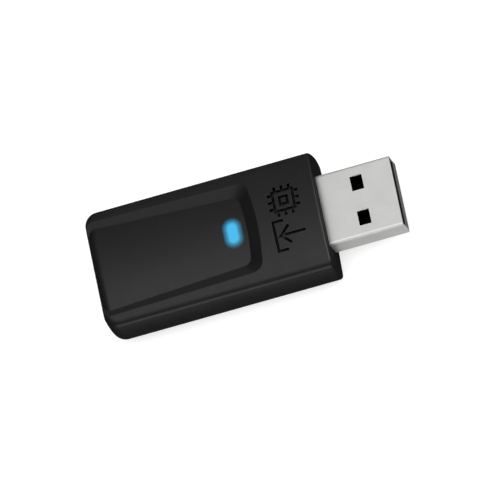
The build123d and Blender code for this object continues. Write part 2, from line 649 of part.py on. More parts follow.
# The lit part: a small case with a clear dome under the light pipe.
with BuildPart() as indicator_led:
    with BuildSketch(Plane.XY.offset(BOARD_TOP_Z)):
        with Locations(LED_PLACE):
            Rectangle(LED_SIZE[0], LED_SIZE[1])
    extrude(amount=LED_SIZE[2])
    with BuildSketch(Plane.XY.offset(BOARD_TOP_Z + LED_SIZE[2])):
        with Locations(LED_PLACE):
            Rectangle(LED_DOME[0], LED_DOME[1])
    extrude(amount=LED_DOME[2])
indicator_led.part.label = "indicator_led"
export_step(indicator_led.part, "parts/indicator_led.step")

with BuildPart() as microcontroller:
    add(moulded_body(MCU_PLACE, MCU_SIZE))
microcontroller.part.label = "microcontroller"
export_step(microcontroller.part, "parts/microcontroller.step")

with BuildPart() as microcontroller_leads:
    for outward in ((1, 0), (0, 1), (-1, 0), (0, -1)):
        offsets = row(MCU_LEADS_PER_SIDE, MCU_LEAD_PITCH)
        add(gull_leads(MCU_PLACE, MCU_SIZE[0] / 2, outward, offsets, LEAD_REACH, MCU_SIZE[2] / 2))
microcontroller_leads.part.label = "microcontroller_leads"
export_step(microcontroller_leads.part, "parts/microcontroller_leads.step")

with BuildPart() as flash_memory:
    add(moulded_body(FLASH_PLACE, FLASH_SIZE))
flash_memory.part.label = "flash_memory"
export_step(flash_memory.part, "parts/flash_memory.step")

with BuildPart() as flash_memory_leads:
    for outward in ((0, 1), (0, -1)):
        offsets = row(FLASH_LEADS_PER_SIDE, FLASH_LEAD_PITCH)
        add(gull_leads(FLASH_PLACE, FLASH_SIZE[1] / 2, outward, offsets, LEAD_REACH, FLASH_SIZE[2] / 2))
flash_memory_leads.part.label = "flash_memory_leads"
export_step(flash_memory_leads.part, "parts/flash_memory_leads.step")

with BuildPart() as voltage_regulator:
    add(moulded_body(REGULATOR_PLACE, REGULATOR_SIZE))
voltage_regulator.part.label = "voltage_regulator"
export_step(voltage_regulator.part, "parts/voltage_regulator.step")

with BuildPart() as regulator_leads:
    for outward, offsets in (((0, 1), row(3, SMALL_LEAD_PITCH)), ((0, -1), row(2, 2 * SMALL_LEAD_PITCH))):
        height = REGULATOR_SIZE[2] / 2
        add(gull_leads(REGULATOR_PLACE, REGULATOR_SIZE[1] / 2, outward, offsets, LEAD_SHORT_REACH, height))
regulator_leads.part.label = "regulator_leads"
export_step(regulator_leads.part, "parts/regulator_leads.step")

with BuildPart() as esd_protector:
    add(moulded_body(ESD_PLACE, ESD_SIZE))
esd_protector.part.label = "esd_protector"
export_step(esd_protector.part, "parts/esd_protector.step")

with BuildPart() as esd_leads:
    for outward in ((1, 0), (-1, 0)):
        offsets = row(3, SMALL_LEAD_PITCH)
        add(gull_leads(ESD_PLACE, ESD_SIZE[0] / 2, outward, offsets, LEAD_SHORT_REACH, ESD_SIZE[2] / 2))
esd_leads.part.label = "esd_leads"
export_step(esd_leads.part, "parts/esd_leads.step")

# The crystal's can.
with BuildPart() as crystal:
    with BuildSketch(Plane.XY.offset(BOARD_TOP_Z)):
        with Locations(CRYSTAL_PLACE):
            Rectangle(CRYSTAL_SIZE[0], CRYSTAL_SIZE[1])
    extrude(amount=CRYSTAL_SIZE[2])
    fillet(crystal.edges().filter_by(Axis.Z), CRYSTAL_EDGE_R)
    fillet(crystal.faces().sort_by(Axis.Z)[-1].edges(), CRYSTAL_EDGE_R / 2)
crystal.part.label = "crystal"
export_step(crystal.part, "parts/crystal.step")

with BuildPart() as ceramic_antenna:
    add(chip_core(ANTENNA_PLACE, ANTENNA_SIZE))
ceramic_antenna.part.label = "ceramic_antenna"
export_step(ceramic_antenna.part, "parts/ceramic_antenna.step")

with BuildPart() as fuse:
    add(chip_core(FUSE_PLACE, FUSE_SIZE))
fuse.part.label = "fuse"
export_step(fuse.part, "parts/fuse.step")

with BuildPart() as bulk_capacitor:
    add(chip_core(BULK_PLACE, BULK_SIZE))
bulk_capacitor.part.label = "bulk_capacitor"
export_step(bulk_capacitor.part, "parts/bulk_capacitor.step")

with BuildPart() as capacitors:
    for place in CAPACITOR_PLACES:
        add(chip_core(place, CAPACITOR_SIZE))
capacitors.part.label = "capacitors"
export_step(capacitors.part, "parts/capacitors.step")

with BuildPart() as resistors:
    for place in (*RESISTOR_PLACES, LED_RESISTOR_PLACE):
        add(chip_core(place, RESISTOR_SIZE))
resistors.part.label = "resistors"
export_step(resistors.part, "parts/resistors.step")

# The metal ends of every two-terminal chip.
with BuildPart() as chip_end_caps:
    add(chip_caps(ANTENNA_PLACE, ANTENNA_SIZE))
    add(chip_caps(FUSE_PLACE, FUSE_SIZE))
    add(chip_caps(BULK_PLACE, BULK_SIZE))
    for place in CAPACITOR_PLACES:
        add(chip_caps(place, CAPACITOR_SIZE))
    for place in (*RESISTOR_PLACES, LED_RESISTOR_PLACE):
        add(chip_caps(place, RESISTOR_SIZE))
chip_end_caps.part.label = "chip_end_caps"
export_step(chip_end_caps.part, "parts/chip_end_caps.step")

# Gold pads for a factory probe, in a row beside the microcontroller.
with BuildPart() as programming_pads:
    with BuildSketch(Plane.XY.offset(BOARD_TOP_Z)):
        with Locations(TEST_PAD_MIDDLE):
            with GridLocations(TEST_PAD_PITCH, 0, TEST_PAD_COUNT, 1):
                Circle(TEST_PAD_R)
    extrude(amount=TEST_PAD_THICKNESS)
programming_pads.part.label = "programming_pads"
export_step(programming_pads.part, "parts/programming_pads.step")
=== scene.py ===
import json
import math

import bmesh
import bpy
from mathutils import Matrix, Vector


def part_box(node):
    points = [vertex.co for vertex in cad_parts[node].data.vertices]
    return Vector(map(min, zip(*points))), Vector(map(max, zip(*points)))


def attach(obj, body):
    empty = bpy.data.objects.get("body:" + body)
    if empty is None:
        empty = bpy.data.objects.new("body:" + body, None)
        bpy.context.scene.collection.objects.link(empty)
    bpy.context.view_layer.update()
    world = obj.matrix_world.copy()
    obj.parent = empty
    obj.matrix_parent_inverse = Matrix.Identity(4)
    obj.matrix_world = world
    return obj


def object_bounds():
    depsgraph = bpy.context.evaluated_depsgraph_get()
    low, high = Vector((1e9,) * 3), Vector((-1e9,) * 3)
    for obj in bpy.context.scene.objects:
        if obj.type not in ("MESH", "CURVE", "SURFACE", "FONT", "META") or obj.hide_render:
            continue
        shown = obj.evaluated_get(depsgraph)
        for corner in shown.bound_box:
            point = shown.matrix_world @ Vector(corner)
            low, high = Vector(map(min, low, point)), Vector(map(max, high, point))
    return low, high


# The looks of a stick programmer with a type A USB plug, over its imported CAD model. Lengths are metres.

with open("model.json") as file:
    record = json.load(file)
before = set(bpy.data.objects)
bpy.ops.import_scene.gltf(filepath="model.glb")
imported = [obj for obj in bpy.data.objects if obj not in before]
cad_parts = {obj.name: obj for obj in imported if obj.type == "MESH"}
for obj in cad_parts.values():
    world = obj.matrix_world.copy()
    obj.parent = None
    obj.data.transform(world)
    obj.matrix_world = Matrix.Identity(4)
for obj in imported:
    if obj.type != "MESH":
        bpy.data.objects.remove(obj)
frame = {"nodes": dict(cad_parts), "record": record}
cad_low, cad_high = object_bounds()

MM = 0.001

# ---- Camera: a long lens that looks down at the stick, with the plug towards the upper right ----
CAMERA_AZIMUTH = 27.4
CAMERA_ELEVATION = 67.3
CAMERA_ROLL = -41.3
CAMERA_LENS = 1000.0
CAMERA_SENSOR = 36.0
CAMERA_CLIP = (0.1, 10.0)
VIEW_WIDTH = 76.9 * MM
AIM_OFFSET = Vector((-1.56, -0.19, 0.35)) * MM  # from the middle of the object's box to the aim

# ---- Studio ----
FLOOR_RADIUS = 3.0
FLOOR_SEGMENTS = 64
FLOOR_GAP = 0.01 * MM
SKY_WHITE = (0.93, 0.93, 0.93, 1)
SKY_DIM = (0.045, 0.045, 0.045, 1)
SKY_DARK = (0.014, 0.014, 0.014, 1)
SKY_HORIZON = 0.15  # how far above and below level the dim room fades into its dark floor

# Each soft light: azimuth and elevation in degrees, distance, width, height and radiance.
SOFTBOXES = {
    "overhead": (0, 88, 1.0, 0.62, 0.52, 2.0),
    "ceiling": (0, 89, 1.2, 1.7, 1.7, 0.46),
    "near_card": (0, 57, 1.2, 0.8, 0.3, 1.3),
    "near_strip": (0, -14, 1.2, 1.4, 0.7, 1.9),
    "plug_strip": (100, 30, 1.2, 0.45, 0.8, 3.0),
    "far_strip": (180, 16, 1.2, 0.9, 0.4, 0.5),
    "plug_under": (0, -90, 1.0, 1.6, 1.6, 0.34),
    "front_edge": (98, 38, 1.2, 0.45, 0.5, 7.5),
}
# The lights that reach only some nodes, as if black flags kept them off the rest.
FLAGGED = {"plug_under": ("plug_shell", "plug_insulator"), "front_edge": ("top_shell", "bottom_shell")}

# ---- Traces on the circuit board ----
TRACE_WIDTH = 0.22 * MM
FINE_TRACE_WIDTH = 0.15 * MM
POWER_TRACE_WIDTH = 0.5 * MM
TRACE_RISE = 0.035 * MM
MITRE_LIMIT = 0.35  # keeps a sharp corner of a strip from growing a spike
TOE_SHARE = 0.3  # of a lead's length, from its middle out to where a trace meets it
CORNER_SLACK = 2.9 * MM  # how much further along its side than out from the middle a lead may stand
BUS_PITCH = 0.28 * MM
BUS_TURN = 0.5 * MM
BUS_SETBACK = 0.2 * MM  # from the leads to the first upright lane
BUS_DROP = 0.95 * MM  # from the memory's lower leads to the lowest lane
PAD_LANE_RISE = 0.7 * MM  # from the leads up to the first lane of the pad lines
PAD_LANE_TURN = 0.2 * MM
PAIR_SETBACK = 0.7 * MM  # from the guard's leads back to the data pair's last stretch
PAIR_SPREAD = 2.0 * MM  # from the middle of the board to each of the pair there
ANTENNA_FEED = 2.4 * MM  # from the antenna's ends to about where the chips beside it are

# ---- Vias, printed marks and solder ----
VIA_RADIUS = 0.32 * MM
VIA_HOLE_RADIUS = 0.15 * MM
VIA_RISE = 0.03 * MM
VIA_GAP = 1.9 * MM  # from the microcontroller's side to the vias beside it
VIA_STEPS = (-2.8 * MM, 2.2 * MM)  # where they are along that side
VIA_PITCH = 4.2 * MM  # between those along the board's long edges
VIA_START = 2.6 * MM
VIA_MARGIN = 0.75 * MM
INK_WIDTH = 0.14 * MM
INK_RISE = 0.02 * MM
INK_MARGIN = 0.45 * MM
INK_ARM = 0.9 * MM
DOT_RADIUS = 0.22 * MM
DOT_HOLE_RADIUS = 0.05 * MM
MARKED = ("microcontroller", "flash_memory", "crystal", "bulk_capacitor", "ceramic_antenna")
DOTS = {"microcontroller": Vector((-0.85, 0.85)) * MM, "flash_memory": Vector((-1.0, -0.3)) * MM}
RING_SIDES = 24
RING_FLAT = 0.92  # how much of a washer's radius is flat, inside its bevel
SKIRT_STEPS = 4
SKIRT_GAP = 0.01 * MM
CAP_FILLET = 0.28 * MM
CAP_SIDE_FILLET = 0.1 * MM
CAP_WETTING = 0.6  # how far up its height the solder wets an end cap
LEAD_FILLET = 0.12 * MM
FOOT_LENGTH = 1.45 * MM
FOOT_RISE = 0.2 * MM
FOOT_FILLETS = (0.3 * MM, 0.0, 0.2 * MM, 0.2 * MM)
FOOT_WETTING = 0.16 * MM
METAL_END = 0.3 * MM
METAL_END_FILLET = 0.15 * MM
METAL_END_WETTING = 0.2 * MM

SIDES = {"+X": (1, 0), "+Y": (0, 1), "-X": (-1, 0), "-Y": (0, -1)}
CORE_NODES = ("ceramic_antenna", "fuse", "bulk_capacitor", "capacitors", "resistors")
PACKAGE_NODES = (
    "microcontroller",
    "flash_memory",
    "voltage_regulator",
    "esd_protector",
    "crystal",
    "indicator_led",
)
LEAD_NODES = ("microcontroller_leads", "flash_memory_leads", "regulator_leads", "esd_leads")
CONTACT_NODES = ("contact_vbus", "contact_data_minus", "contact_data_plus", "contact_ground")

board_low, board_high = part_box("circuit_board")
board_top = board_high.z


# ======== Materials ========


def tone(red, green, blue):
    """A linear colour from its 0 to 255 screen values."""
    parts = [value / 255 for value in (red, green, blue)]
    linear = [v / 12.92 if v <= 0.04045 else ((v + 0.055) / 1.055) ** 2.4 for v in parts]
    return (*linear, 1.0)


class Finish:
    """One procedural material: a Principled shader, and the nodes that vary it over the surface."""

    def __init__(self, name, sockets):
        self.material = bpy.data.materials.new(name)
        self.material.use_nodes = True
        self.tree = self.material.node_tree
        self.shader = self.tree.nodes["Principled BSDF"]
        for socket, value in sockets.items():
            self.shader.inputs[socket].default_value = value
        self.place = self.tree.nodes.new("ShaderNodeTexCoord").outputs["Object"]

    def node(self, kind, inputs, **settings):
        """Adds a node; an input is a number, a colour or another node's output."""
        made = self.tree.nodes.new(kind)
        for name, value in settings.items():
            setattr(made, name, value)
        for name, value in inputs.items():
            if isinstance(value, bpy.types.NodeSocket):
                self.tree.links.new(value, made.inputs[name])
            else:
                made.inputs[name].default_value = value
        return made

    def feed(self, socket, output):
        """Links a node's output to one of the shader's sockets."""
        self.tree.links.new(output, self.shader.inputs[socket])

    def grain(self, size, detail=3.0, stretch=(1, 1, 1)):
        """Noise whose lumps are about size across, drawn out along an axis by stretch."""
        scale = [1 / factor for factor in stretch]
        spot = self.node("ShaderNodeMapping", {"Vector": self.place, "Scale": scale}).outputs["Vector"]
        noise = self.node("ShaderNodeTexNoise", {"Vector": spot, "Scale": 1 / size, "Detail": detail})
        return noise.outputs["Fac"]

    def cells(self, size):
        """Distance to the nearest cell centre, for pits and speckles about size apart."""
        made = self.node("ShaderNodeTexVoronoi", {"Vector": self.place, "Scale": 1 / size})
        return made.outputs["Distance"]

    def spread(self, value, low, high, start=0.3, end=0.7):
        """Turns a value between start and end into one between low and high."""
        inputs = {"Value": value, "From Min": start, "From Max": end, "To Min": low, "To Max": high}
        return self.node("ShaderNodeMapRange", inputs).outputs["Result"]

    def join(self, first, second, operation="ADD"):
        """Two values added, or joined by another operation."""
        return self.node("ShaderNodeMath", {0: first, 1: second}, operation=operation).outputs["Value"]

    def blend(self, share, first, second):
        """A colour between two, by share."""
        made = self.node("ShaderNodeMix", {"Factor": share, 6: first, 7: second}, data_type="RGBA")
        return made.outputs[2]

    def bump(self, height, depth):
        """Tilts the surface as a relief of that depth would."""
        return self.node("ShaderNodeBump", {"Height": height, "Distance": depth}).outputs["Normal"]

    def level(self, axis):
        """How far along an axis the place is."""
        return self.node("ShaderNodeSeparateXYZ", {"Vector": self.place}).outputs[axis]

    def edges(self, radius, start, end):
        """1 on sharp edges and 0 elsewhere, from how far a rounding of that radius turns the surface."""
        rounded = self.node("ShaderNodeBevel", {"Radius": radius}, samples=4).outputs["Normal"]
        flat = self.node("ShaderNodeNewGeometry", {}).outputs["Normal"]
        likeness = self.node("ShaderNodeVectorMath", {0: rounded, 1: flat}, operation="DOT_PRODUCT")
        return self.spread(likeness.outputs["Value"], 1.0, 0.0, start, end)

    def lean(self, axis):
        """How squarely the surface faces along an axis, from -1 to 1."""
        normal = self.node("ShaderNodeNewGeometry", {}).outputs["Normal"]
        return self.node("ShaderNodeSeparateXYZ", {"Vector": normal}).outputs[axis]

    def recess(self, distance, start, end):
        """0 in the open and 1 down in grooves and corners, from how much is blocked within a distance."""
        opened = self.node("ShaderNodeAmbientOcclusion", {"Distance": distance}, samples=6).outputs["AO"]
        return self.spread(opened, 0.0, 1.0, start, end)


def case_plastic():
    """Black moulded plastic, spark-eroded and coarser on its front face, with burnish and a painted
    highlight on its edges and painted shade in its grooves, corners and front face.
    """
    f = Finish("case_plastic", {"IOR": 1.5, "Specular IOR Level": 0.3})
    cloud = f.grain(6 * MM, detail=2.0)
    texture = f.grain(0.09 * MM, detail=4.0)
    handled = f.grain(1.4 * MM, detail=5.0)
    # Lighter, smoother edges: partly burnish, partly a painted highlight.
    edge_wear_and_highlight = f.join(f.edges(0.18 * MM, 0.86, 0.995), f.spread(handled, 0.25, 1.0), "MULTIPLY")
    # Painted shade: near black, metal-like and rougher down in grooves and corners.
    recess_shade = f.recess(0.6 * MM, 0.85, 0.6)
    # The front face is rougher, and painted shade darkens it by making it partly metal over its dark base.
    front = f.spread(f.lean("X"), 0.0, 1.0, 0.8, 0.97)
    body = f.blend(f.spread(cloud, 0, 1), tone(14, 14, 15), tone(17, 17, 17))
    rubbed = f.blend(edge_wear_and_highlight, body, tone(40, 40, 41))
    # Painted shade: near-black base colour in grooves and corners.
    f.feed("Base Color", f.blend(recess_shade, rubbed, tone(2, 2, 2)))
    # Painted shade: metal-like darkness in grooves and corners and, in part, on the front face.
    f.feed("Metallic", f.join(recess_shade, f.spread(front, 0.0, 0.45, 0.0, 1.0), "MAXIMUM"))
    matt = f.join(f.spread(texture, 0.34, 0.44), f.spread(handled, -0.02, 0.03))
    matt = f.join(matt, f.spread(edge_wear_and_highlight, 0.0, 0.10, 0.0, 1.0), "SUBTRACT")
    rough_face = f.join(matt, f.spread(front, 0.0, 0.3, 0.0, 1.0))
    f.feed("Roughness", f.join(rough_face, f.spread(recess_shade, 0.0, 0.3, 0.0, 1.0)))
    f.feed("Normal", f.bump(texture, 0.004 * MM))
    return f.material


def window_plastic():
    """Frosted clear plastic, lit from below by the lamp, brightest in the middle of the window."""
    low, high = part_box("light_pipe")
    middle = (low + high) / 2
    f = Finish("window_plastic", {"IOR": 1.5, "Specular IOR Level": 0.25, "Emission Strength": 1.0})
    straight = 0.85 * MM  # half the length of the glow's bright core, before it rounds off
    spot = f.node("ShaderNodeVectorMath", {0: f.place, 1: middle}, operation="SUBTRACT").outputs["Vector"]
    parts = f.node("ShaderNodeSeparateXYZ", {"Vector": spot}).outputs
    along = f.node("ShaderNodeMath", {0: parts["Y"]}, operation="ABSOLUTE").outputs["Value"]
    beyond = f.join(f.join(along, straight, "SUBTRACT"), 0.0, "MAXIMUM")
    offset = f.node("ShaderNodeCombineXYZ", {"X": parts["X"], "Y": beyond}).outputs["Vector"]
    reach = f.node("ShaderNodeVectorMath", {0: offset}, operation="LENGTH").outputs["Value"]
    cloud = f.grain(0.35 * MM, detail=3.0)
    soft_reach = f.join(reach, f.spread(cloud, -0.03 * MM, 0.03 * MM))
    core = f.spread(soft_reach, 1.0, 0.35, 0.65 * MM, 1.15 * MM)
    rim = f.spread(soft_reach, 1.0, 0.2, 1.2 * MM, 1.6 * MM)
    glow = f.join(core, rim, "MULTIPLY")
    f.feed("Base Color", f.blend(glow, tone(18, 24, 28), tone(24, 44, 54)))
    f.feed("Emission Color", f.blend(glow, (0, 0, 0, 1), tone(62, 180, 231)))
    f.feed("Roughness", f.spread(cloud, 0.28, 0.4))
    f.feed("Normal", f.bump(cloud, 0.003 * MM))
    return f.material


def plug_steel():
    """Nickel-plated steel with fine rolling lines, edges lighter from wear and a painted highlight, and
    painted shade in its corners and on the cut edge over its mouth.
    """
    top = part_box("plug_shell")[1].z
    f = Finish("plug_steel", {"Metallic": 0.7})
    rolled = f.grain(0.035 * MM, detail=2.0, stretch=(160, 1, 1))
    rubbed = f.grain(0.12 * MM, detail=2.0, stretch=(60, 1, 1))
    cloud = f.grain(3.5 * MM, detail=3.0)
    # Lighter edges: partly wear, partly a painted highlight.
    edge_wear_and_highlight = f.edges(0.12 * MM, 0.80, 0.99)
    sheet = f.blend(f.spread(cloud, 0, 1), tone(201, 201, 199), tone(208, 208, 206))
    lined = f.blend(f.spread(rolled, 0.0, 0.3), sheet, tone(194, 194, 192))
    bright = f.blend(edge_wear_and_highlight, lined, tone(240, 240, 238))
    # Painted shade: dark grey in enclosed corners and on the top of the cut edge over the mouth.
    upper = f.spread(f.level("Z"), 0.0, 1.0, top - 0.9 * MM, top - 0.5 * MM)
    cut = f.join(f.spread(f.lean("X"), 0.0, 1.0, 0.75, 0.95), upper, "MULTIPLY")
    dark = f.join(f.recess(3 * MM, 0.58, 0.4), cut, "MAXIMUM")
    f.feed("Base Color", f.blend(dark, bright, tone(24, 24, 25)))
    satin = f.join(f.spread(rolled, 0.29, 0.325), f.spread(rubbed, -0.015, 0.015))
    f.feed("Roughness", satin)
    f.feed("Normal", f.bump(rolled, 0.0003 * MM))
    return f.material


def insulator_plastic():
    """Dark glass-filled nylon with short fibres showing at its surface, and painted shade that turns it
    near black where it is enclosed.
    """
    f = Finish("insulator_plastic", {"IOR": 1.55})
    fibres = f.grain(0.03 * MM, detail=2.0, stretch=(8, 1, 1))
    cloud = f.grain(1.5 * MM)
    body = f.blend(f.spread(cloud, 0, 1), tone(20, 20, 22), tone(26, 26, 28))
    skin = f.blend(f.spread(fibres, 0, 0.5, 0.55, 0.7), body, tone(40, 41, 43))
    # Painted shade: near black and metal-like where it is enclosed.
    recess_shade = f.recess(5 * MM, 0.85, 0.5)
    f.feed("Base Color", f.blend(recess_shade, skin, tone(2, 2, 2)))
    f.feed("Metallic", recess_shade)
    f.feed("Roughness", f.spread(fibres, 0.24, 0.32))
    f.feed("Normal", f.bump(fibres, 0.002 * MM))
    return f.material


def plated(name, colour, shade, roughness, wipe):
    """Thin metal plating, a little uneven, with marks drawn out along the part where wipe is large."""
    f = Finish(name, {"Metallic": 1.0})
    cloud = f.grain(0.4 * MM, detail=4.0)
    lines = f.grain(0.04 * MM, detail=2.0, stretch=(wipe, 1, 1))
    f.feed("Base Color", f.blend(f.spread(cloud, 0, 1), colour, shade))
    drawn = f.spread(lines, roughness - 0.05, roughness + 0.05)
    f.feed("Roughness", f.join(drawn, f.spread(cloud, 0.0, 0.06)))
    f.feed("Normal", f.bump(lines, 0.002 * MM))
    return f.material


def solder():
    """Bright reflowed solder with a faint crystalline mottling."""
    f = Finish("solder", {"Metallic": 1.0})
    crystals = f.cells(0.07 * MM)
    cloud = f.grain(0.2 * MM)
    f.feed("Base Color", f.blend(f.spread(cloud, 0, 1), tone(196, 198, 202), tone(216, 217, 220)))
    f.feed("Roughness", f.spread(crystals, 0.2, 0.38, 0.0, 0.8))
    f.feed("Normal", f.bump(crystals, 0.004 * MM))
    return f.material


def board_finish(name, light, dark):
    """Green solder mask over woven glass, which shows tan on the cut edges of the board."""
    f = Finish(name, {"IOR": 1.52, "Coat Weight": 0.25, "Coat Roughness": 0.2})
    upright = f.node("ShaderNodeMath", {0: f.lean("Z")}, operation="ABSOLUTE").outputs["Value"]
    face = f.spread(upright, 0, 1, 0.4, 0.6)
    yarn = {"Vector": f.place, "Scale": 900.0, "Distortion": 0.6}
    warp = f.node("ShaderNodeTexWave", yarn, bands_direction="X")
    weft = f.node("ShaderNodeTexWave", yarn, bands_direction="Y")
    weave = f.join(warp.outputs["Fac"], weft.outputs["Fac"])
    cloud = f.grain(2.5 * MM)
    mask = f.blend(f.spread(cloud, 0, 1), dark, light)
    mask = f.blend(f.spread(weave, 0.0, 0.25, 0.4, 1.6), mask, light)
    layers = f.grain(0.12 * MM, detail=2.0, stretch=(12, 12, 1))
    cut = f.blend(f.spread(layers, 0, 1), tone(146, 132, 84), tone(196, 184, 132))
    f.feed("Base Color", f.blend(face, cut, mask))
    f.feed("Roughness", f.join(f.spread(cloud, 0.27, 0.36), f.spread(face, 0.4, 0.0, 0.0, 1.0)))
    f.feed("Normal", f.bump(weave, 0.004 * MM))
    return f.material


def led_package():
    """White reflector body of the lamp, with its clear dome glowing above it."""
    low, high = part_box("indicator_led")
    rim = low.z + (high.z - low.z) * 0.58
    f = Finish("led_package", {"IOR": 1.54, "Emission Strength": 1.6})
    dome = f.spread(f.level("Z"), 0.0, 1.0, rim - 0.01 * MM, rim + 0.02 * MM)
    cloud = f.grain(0.3 * MM)
    body = f.blend(f.spread(cloud, 0, 1), tone(226, 226, 220), tone(240, 240, 236))
    f.feed("Base Color", f.blend(dome, body, tone(150, 205, 225)))
    lit = f.blend(f.spread(cloud, 0, 1), tone(50, 165, 225), tone(80, 195, 240))
    f.feed("Emission Color", f.blend(dome, (0, 0.004, 0.008, 1), lit))
    f.feed("Roughness", f.join(f.spread(cloud, 0.38, 0.5), f.spread(dome, 0.0, -0.2, 0.0, 1.0)))
    f.feed("Normal", f.bump(cloud, 0.003 * MM))
    return f.material


def chip_moulding():
    """Black epoxy packages with a matt, sandy face."""
    f = Finish("chip_moulding", {"IOR": 1.55})
    sand = f.grain(0.035 * MM, detail=4.0)
    cloud = f.grain(1.2 * MM)
    f.feed("Base Color", f.blend(f.spread(cloud, 0, 1), tone(29, 29, 31), tone(38, 38, 40)))
    f.feed("Roughness", f.spread(sand, 0.5, 0.68))
    f.feed("Normal", f.bump(sand, 0.006 * MM))
    return f.material


def speckled(name, light, dark, roughness, coat=0.0):
    """Ceramic or pressed bodies: two tones in a fine speckle, with small pits."""
    f = Finish(name, {"IOR": 1.6, "Coat Weight": coat, "Coat Roughness": 0.12})
    speckle = f.grain(0.06 * MM)
    pits = f.cells(0.12 * MM)
    f.feed("Base Color", f.blend(f.spread(speckle, 0, 1, 0.38, 0.62), dark, light))
    f.feed("Roughness", f.spread(speckle, roughness - 0.06, roughness + 0.06))
    f.feed("Normal", f.bump(f.join(speckle, pits), 0.003 * MM))
    return f.material


def banded(name, node, body, band, share):
    """A moulded chip with a printed bar across one end, which marks its positive side."""
    low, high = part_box(node)
    f = Finish(name, {"IOR": 1.55})
    speckle = f.grain(0.05 * MM, detail=4.0)
    uneven = f.join(f.level("X"), f.spread(speckle, -0.02 * MM, 0.02 * MM))
    edge = low.x + (high.x - low.x) * share
    bar = f.spread(uneven, 1.0, 0.0, edge - 0.02 * MM, edge + 0.02 * MM)
    base = f.blend(f.spread(speckle, 0, 1), body, tone(205, 140, 52))
    f.feed("Base Color", f.blend(bar, base, band))
    f.feed("Roughness", f.spread(speckle, 0.38, 0.52))
    f.feed("Normal", f.bump(speckle, 0.004 * MM))
    return f.material


def ink():
    """White printed marks on the board, a little thin in places."""
    f = Finish("ink", {"IOR": 1.5})
    thin = f.grain(0.12 * MM, detail=4.0)
    f.feed("Base Color", f.blend(f.spread(thin, 0, 1), tone(206, 210, 204), tone(236, 238, 234)))
    f.feed("Roughness", f.spread(thin, 0.5, 0.65))
    f.feed("Normal", f.bump(thin, 0.003 * MM))
    return f.material


solder_finish = solder()
ink_finish = ink()
trace_finish = board_finish("trace_mask", tone(58, 142, 78), tone(44, 122, 62))
finishes = {
    "case_plastic": case_plastic(),
    "window_plastic": window_plastic(),
    "plug_steel": plug_steel(),
    "insulator_plastic": insulator_plastic(),
    "gold_plate": plated("gold_plate", tone(236, 200, 118), tone(224, 184, 98), 0.22, 30),
    "tin_plate": plated("tin_plate", tone(206, 207, 208), tone(188, 190, 192), 0.32, 1),
    "solder_mask": board_finish("solder_mask", tone(28, 94, 48), tone(18, 74, 36)),
    "led_package": led_package(),
    "chip_moulding": chip_moulding(),
    "crystal_can": plated("crystal_can", tone(214, 212, 206), tone(200, 198, 193), 0.26, 18),
    "antenna_ceramic": speckled("antenna_ceramic", tone(214, 222, 228), tone(196, 206, 214), 0.42),
    "fuse_body": speckled("fuse_body", tone(60, 116, 74), tone(46, 98, 60), 0.4),
    "tantalum_body": banded("tantalum_body", "bulk_capacitor", tone(222, 158, 66), tone(120, 60, 28), 0.25),
    "capacitor_ceramic": speckled("capacitor_ceramic", tone(178, 146, 108), tone(156, 124, 88), 0.45),
    "resistor_film": speckled("resistor_film", tone(30, 32, 38), tone(22, 23, 28), 0.3, coat=0.4),
}


def dress(node, finish):
    """Gives a CAD node one material all over."""
    slots = frame["nodes"][node].data.materials
    slots.clear()
    slots.append(finish)


for entry in frame["record"]["subparts"]:
    dress(entry["node"], finishes[entry["material_slot"]])


# ======== Details on the circuit board ========


def solids_of(node):
    """The box of each separate solid in a CAD node, as (lowest corner, highest corner)."""
    mesh = bmesh.new()
    mesh.from_mesh(frame["nodes"][node].data)
    bmesh.ops.remove_doubles(mesh, verts=mesh.verts, dist=MM / 1000)
    boxes = []
    for start in mesh.verts:
        if start.tag:
            continue
        start.tag = True
        found = [start]
        for vertex in found:
            for edge in vertex.link_edges:
                other = edge.other_vert(vertex)
                if not other.tag:
                    other.tag = True
                    found.append(other)
        corners = list(zip(*(vertex.co for vertex in found)))
        boxes.append((Vector(map(min, corners)), Vector(map(max, corners))))
    mesh.free()
    return boxes


def centre(box):
    """The middle of a box."""
    return (box[0] + box[1]) / 2


def by_x(spots):
    """The spots in order along X."""
    return sorted(spots, key=lambda spot: spot.x)


def nearest(spots, target):
    """The spot that is nearest to target."""
    return min(spots, key=lambda spot: (spot - target).length)


def toes(node):
    """Where traces meet the leads of a package: for each side, the spots in order along it."""
    boxes = solids_of(node)
    middle = sum((centre(box) for box in boxes), Vector()).xy / len(boxes)
    found = {}
    for side, outward in SIDES.items():
        way = Vector(outward)
        along = Vector((-way.y, way.x))
        spots = []
        for low, high in boxes:
            spot = centre((low, high)).xy
            size = (high - low).xy
            length, breadth = abs(size.dot(way)), abs(size.dot(along))
            out = (spot - middle).dot(way)
            shift = abs((spot - middle).dot(along))
            if out > 0 and shift <= out + CORNER_SLACK and length > breadth:
                spots.append(spot + way * length * TOE_SHARE)
        found[side] = sorted(spots, key=along.dot)
    return found


def contact_foot(node):
    """The box of a contact's foot on the board."""
    low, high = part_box(node)
    return low, Vector((low.x + FOOT_LENGTH, high.y, board_top + FOOT_RISE))


cap_boxes = solids_of("chip_end_caps")
cap_spots = [centre(box).xy for box in cap_boxes]
core_boxes = [box for node in CORE_NODES for box in solids_of(node)]
standing_nodes = (*PACKAGE_NODES, *LEAD_NODES, "programming_pads")
part_boxes = core_boxes + cap_boxes + [box for node in standing_nodes for box in solids_of(node)]

feet = {name: centre(contact_foot(name)).xy for name in CONTACT_NODES}
controller = toes("microcontroller_leads")
memory = toes("flash_memory_leads")
guard = toes("esd_leads")
regulator = toes("regulator_leads")


def caps_of(node):
    """The two end caps of a chip, the one at lower X plus Y first."""
    middle = centre(solids_of(node)[0]).xy
    pair = sorted(cap_spots, key=lambda spot: (spot - middle).length)[:2]
    return sorted(pair, key=lambda spot: spot.x + spot.y)


# ---- Mesh building ----


